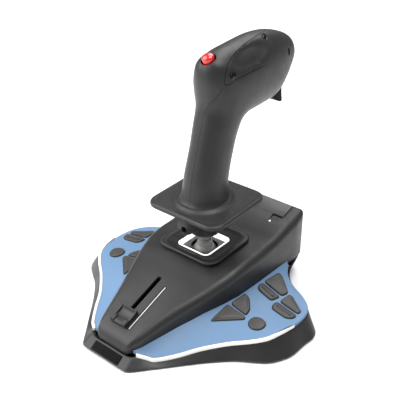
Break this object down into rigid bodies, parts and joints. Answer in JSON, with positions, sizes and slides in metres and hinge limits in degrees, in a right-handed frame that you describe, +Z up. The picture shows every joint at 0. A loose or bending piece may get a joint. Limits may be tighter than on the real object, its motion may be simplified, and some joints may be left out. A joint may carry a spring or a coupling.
{
  "type": "flight joystick",
  "caption": "Desktop flight joystick: tilting, twisting grip with trigger and thumb button on a square palm rest, over a wedge base with blue button wings and a sliding throttle.",
  "frame": {"origin": "middle of the bounding box's bottom face, on the table under the rubber feet", "axes": "+X to the user's right, +Y away from the user, +Z up; the stick stands upright at rest and its grip leans forward"},
  "size_m": [0.2416, 0.254, 0.2361],
  "materials": {
    "dark_plastic": "fine satin grain, dark grey",
    "blue_plastic": "satin, light steel blue",
    "stripe_white": "smooth, off-white",
    "button_plastic": "satin, warm dark grey",
    "light_white": "smooth white light guide",
    "dome_plastic": "satin, mid grey",
    "red_gloss": "glossy red",
    "black_gloss": "glossy black",
    "black_rubber": "matt black rubber",
    "steel": "plain machined steel",
    "circuit_board": "green circuit board"
  },
  "bodies": {
    "base": {"base_screw_1": "steel", "base_screw_2": "steel", "base_screw_3": "steel", "base_screw_4": "steel", "base_skirt": "dark_plastic", "bottom_plate": "steel", "button_board_left": "circuit_board", "button_board_right": "circuit_board", "center_housing": "dark_plastic", "foot_front_left": "black_rubber", "foot_front_right": "black_rubber", "foot_rear_left": "black_rubber", "foot_rear_right": "black_rubber", "front_nameplate": "black_gloss", "gimbal_bezel": "dark_plastic", "gimbal_tower": "dark_plastic", "light_ring": "light_white", "pitch_spring": "steel", "pivot_cover": "dark_plastic", "rear_nameplate": "black_gloss", "sensor_board": "circuit_board", "status_led": "light_white", "throttle_scale": "light_white", "usb_socket": "steel", "wing_panel_left": "blue_plastic", "wing_panel_right": "blue_plastic", "wing_stripe_left": "stripe_white", "wing_stripe_right": "stripe_white"},
    "yoke": {"gimbal_yoke": "steel", "roll_pin": "steel", "roll_spring": "steel"},
    "stick": {"stick_shaft": "steel", "dust_dome": "dome_plastic", "shaft_collar": "dark_plastic", "collar_screw": "steel", "sensor_magnet": "steel"},
    "grip": {"grip_left_shell": "dark_plastic", "grip_right_shell": "dark_plastic", "thumb_cover": "dark_plastic", "cover_screw_1": "steel", "cover_screw_2": "steel", "trigger_pin": "steel"},
    "thumb_button": {"red_button": "red_gloss"},
    "trigger_lever": {"trigger": "black_gloss"},
    "throttle": {"throttle_knob": "button_plastic", "throttle_carriage": "dark_plastic"},
    "key_left_front_inner": {"button_left_front_inner": "button_plastic"},
    "key_left_lower_inner": {"button_left_lower_inner": "button_plastic"},
    "key_left_lower_outer": {"button_left_lower_outer": "button_plastic"},
    "key_left_rear_inner": {"button_left_rear_inner": "button_plastic"},
    "key_left_round": {"button_left_round": "button_plastic"},
    "key_left_upper_inner": {"button_left_upper_inner": "button_plastic"},
    "key_left_upper_outer": {"button_left_upper_outer": "button_plastic"},
    "key_right_front_inner": {"button_right_front_inner": "button_plastic"},
    "key_right_lower_inner": {"button_right_lower_inner": "button_plastic"},
    "key_right_lower_outer": {"button_right_lower_outer": "button_plastic"},
    "key_right_rear_inner": {"button_right_rear_inner": "button_plastic"},
    "key_right_round": {"button_right_round": "button_plastic"},
    "key_right_upper_inner": {"button_right_upper_inner": "button_plastic"},
    "key_right_upper_outer": {"button_right_upper_outer": "button_plastic"}
  },
  "joints": [
    {"name": "stick_pitch", "type": "hinge", "parent": "base", "child": "yoke", "pos_m": [0, 0.00616, 0.0385], "axis": [1, 0, 0], "range_deg": [-15, 15], "stiffness_Nm_per_rad": 1.2},
    {"name": "stick_roll", "type": "hinge", "parent": "yoke", "child": "stick", "pos_m": [0, 0.00616, 0.0385], "axis": [0, 1, 0], "range_deg": [-15, 15], "stiffness_Nm_per_rad": 1.2},
    {"name": "grip_twist", "type": "hinge", "parent": "stick", "child": "grip", "pos_m": [0, 0.00616, 0.099], "axis": [0, 0, 1], "range_deg": [-15, 15], "stiffness_Nm_per_rad": 0.4},
    {"name": "thumb_button_press", "type": "slide", "parent": "grip", "child": "thumb_button", "axis": [0, 0.3401, -0.9404], "range_m": [0, 0.0018], "stiffness_N_per_m": 400},
    {"name": "trigger_pull", "type": "hinge", "parent": "grip", "child": "trigger_lever", "pos_m": [0, 0.10416, 0.1825], "axis": [-1, 0, 0], "range_deg": [0, 10], "stiffness_Nm_per_rad": 0.12},
    {"name": "throttle_slide", "type": "slide", "parent": "base", "child": "throttle", "axis": [0, 0.9355, 0.3534], "range_m": [0, 0.038]},
    {"name": "button_left_front_inner_press", "type": "slide", "parent": "base", "child": "key_left_front_inner", "axis": [0, 0, -1], "range_m": [0, 0.0012], "stiffness_N_per_m": 400},
    {"name": "button_left_lower_inner_press", "type": "slide", "parent": "base", "child": "key_left_lower_inner", "axis": [0, 0, -1], "range_m": [0, 0.0012], "stiffness_N_per_m": 400},
    {"name": "button_left_lower_outer_press", "type": "slide", "parent": "base", "child": "key_left_lower_outer", "axis": [0, 0, -1], "range_m": [0, 0.0012], "stiffness_N_per_m": 400},
    {"name": "button_left_rear_inner_press", "type": "slide", "parent": "base", "child": "key_left_rear_inner", "axis": [0, 0, -1], "range_m": [0, 0.0012], "stiffness_N_per_m": 400},
    {"name": "button_left_round_press", "type": "slide", "parent": "base", "child": "key_left_round", "axis": [0, 0, -1], "range_m": [0, 0.0012], "stiffness_N_per_m": 400},
    {"name": "button_left_upper_inner_press", "type": "slide", "parent": "base", "child": "key_left_upper_inner", "axis": [0, 0, -1], "range_m": [0, 0.0012], "stiffness_N_per_m": 400},
    {"name": "button_left_upper_outer_press", "type": "slide", "parent": "base", "child": "key_left_upper_outer", "axis": [0, 0, -1], "range_m": [0, 0.0012], "stiffness_N_per_m": 400},
    {"name": "button_right_front_inner_press", "type": "slide", "parent": "base", "child": "key_right_front_inner", "axis": [0, 0, -1], "range_m": [0, 0.0012], "stiffness_N_per_m": 400},
    {"name": "button_right_lower_inner_press", "type": "slide", "parent": "base", "child": "key_right_lower_inner", "axis": [0, 0, -1], "range_m": [0, 0.0012], "stiffness_N_per_m": 400},
    {"name": "button_right_lower_outer_press", "type": "slide", "parent": "base", "child": "key_right_lower_outer", "axis": [0, 0, -1], "range_m": [0, 0.0012], "stiffness_N_per_m": 400},
    {"name": "button_right_rear_inner_press", "type": "slide", "parent": "base", "child": "key_right_rear_inner", "axis": [0, 0, -1], "range_m": [0, 0.0012], "stiffness_N_per_m": 400},
    {"name": "button_right_round_press", "type": "slide", "parent": "base", "child": "key_right_round", "axis": [0, 0, -1], "range_m": [0, 0.0012], "stiffness_N_per_m": 400},
    {"name": "button_right_upper_inner_press", "type": "slide", "parent": "base", "child": "key_right_upper_inner", "axis": [0, 0, -1], "range_m": [0, 0.0012], "stiffness_N_per_m": 400},
    {"name": "button_right_upper_outer_press", "type": "slide", "parent": "base", "child": "key_right_upper_outer", "axis": [0, 0, -1], "range_m": [0, 0.0012], "stiffness_N_per_m": 400}
  ]
}
